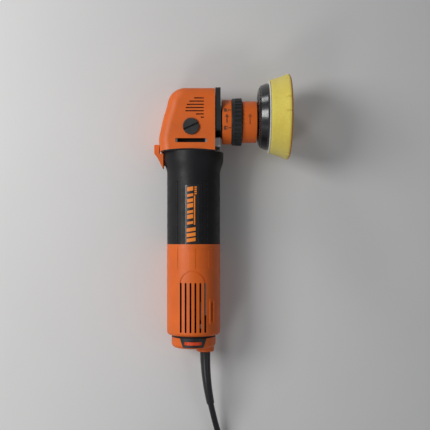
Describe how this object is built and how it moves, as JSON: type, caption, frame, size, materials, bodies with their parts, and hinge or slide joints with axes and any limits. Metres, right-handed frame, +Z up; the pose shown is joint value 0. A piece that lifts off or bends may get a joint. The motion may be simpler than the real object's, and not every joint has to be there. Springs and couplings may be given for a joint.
{
  "type": "dual action polisher",
  "caption": "Corded dual action polisher lying on its side: geared head, quick-lock orbit head with foam pad, slim motor barrel, vented rear shell, speed dial, slide switch, mains lead.",
  "frame": {"origin": "on the floor under the middle of the tool as it lies on its side, cord past the boot left out", "axes": "+Z up from the floor; +Y along the barrel towards the gear head; +X towards the pad, with the spindle tilted up by 8.8 degrees because barrel and pad rim both touch the floor"},
  "size_m": [0.1818, 0.5803, 0.097],
  "materials": {
    "orange_shell": "satin",
    "black_shell": "matt",
    "grey_plastic": "satin",
    "red_dial": "satin",
    "black_rubber": "matt",
    "cast_alloy": "satin",
    "steel": "satin",
    "bright_steel": "polished",
    "laminations": "satin",
    "copper": "satin",
    "brass": "satin",
    "carbon": "matt",
    "circuit_board": "satin",
    "hook_black": "matt",
    "loop_white": "matt",
    "yellow_foam": "matt",
    "plate_black": "gloss",
    "cable_black": "satin",
    "label": "gloss"
  },
  "bodies": {
    "housing": {"gear_cover": "orange_shell", "gear_case": "cast_alloy", "side_plugs": "grey_plastic", "bearing_cap": "laminations", "neck_ring": "orange_shell", "lock_clip": "steel", "head_housing": "orange_shell", "head_bearing": "bright_steel", "spindle_bearing": "bright_steel", "spindle_end_bearing": "bright_steel", "motor_housing": "black_shell", "label_plates": "label", "front_motor_bearing": "bright_steel", "rear_motor_bearing": "bright_steel", "bearing_retainer": "steel", "air_baffle": "grey_plastic", "stator_core": "laminations", "stator_coils": "copper", "brush_holders": "brass", "carbon_brushes": "carbon", "brush_springs": "steel", "power_switch": "grey_plastic", "rear_frame": "black_shell", "speed_board": "circuit_board", "board_parts": "circuit_board", "speed_pot": "grey_plastic", "rear_shell": "orange_shell", "end_cap": "orange_shell", "dial_bezel": "black_shell", "long_screws": "bright_steel", "small_screws": "bright_steel", "cord_clamp": "grey_plastic", "lead_tail": "cable_black", "cord_boot": "black_rubber", "cord_lead": "cable_black", "cord_tail": "cable_black", "cord_coil": "cable_black", "plug_body": "black_rubber", "plug_pins": "bright_steel"},
    "spindle": {"spindle_shaft": "steel", "bevel_gear": "steel", "orbit_drive": "cast_alloy", "counterweight": "steel", "orbit_bearing": "bright_steel"},
    "pad": {"pad_spindle": "steel", "backing_plate": "plate_black", "plate_screw": "bright_steel", "hook_face": "hook_black", "loop_layer": "loop_white", "foam_pad": "yellow_foam"},
    "rotor": {"armature_shaft": "steel", "armature_core": "laminations", "armature_windings": "copper", "commutator": "copper", "cooling_fan": "grey_plastic", "pinion_gear": "steel"},
    "lock_ring": {"lock_ring": "black_shell"},
    "switch": {"switch_slider": "orange_shell", "switch_rod": "grey_plastic"},
    "dial": {"speed_dial": "red_dial"}
  },
  "joints": [
    {"name": "spindle_spin", "type": "hinge", "parent": "housing", "child": "spindle", "pos_m": [-0.03543, 0.13728, 0.03206], "axis": [0.9883, 0, 0.1524], "continuous": true},
    {"name": "pad_spin", "type": "hinge", "parent": "spindle", "child": "pad", "pos_m": [0.05095, 0.14328, 0.04538], "axis": [0.9883, 0, 0.1524], "continuous": true},
    {"name": "motor_spin", "type": "hinge", "parent": "housing", "child": "rotor", "pos_m": [-0.03543, 0.05728, 0.03206], "axis": [0, 1, 0], "continuous": true},
    {"name": "lock_ring_turn", "type": "hinge", "parent": "housing", "child": "lock_ring", "pos_m": [0.01374, 0.13728, 0.03964], "axis": [0.9883, 0, 0.1524], "range_deg": [0, 40]},
    {"name": "switch_slide", "type": "slide", "parent": "housing", "child": "switch", "axis": [0, 1, 0], "range_m": [0, 0.007]},
    {"name": "dial_turn", "type": "hinge", "parent": "housing", "child": "dial", "pos_m": [-0.03764, -0.11612, 0.04639], "axis": [0, 1, 0], "range_deg": [0, 270]}
  ],
  "couplings": [
    {"joint": "motor_spin", "follows": "spindle_spin", "ratio": 3}
  ]
}
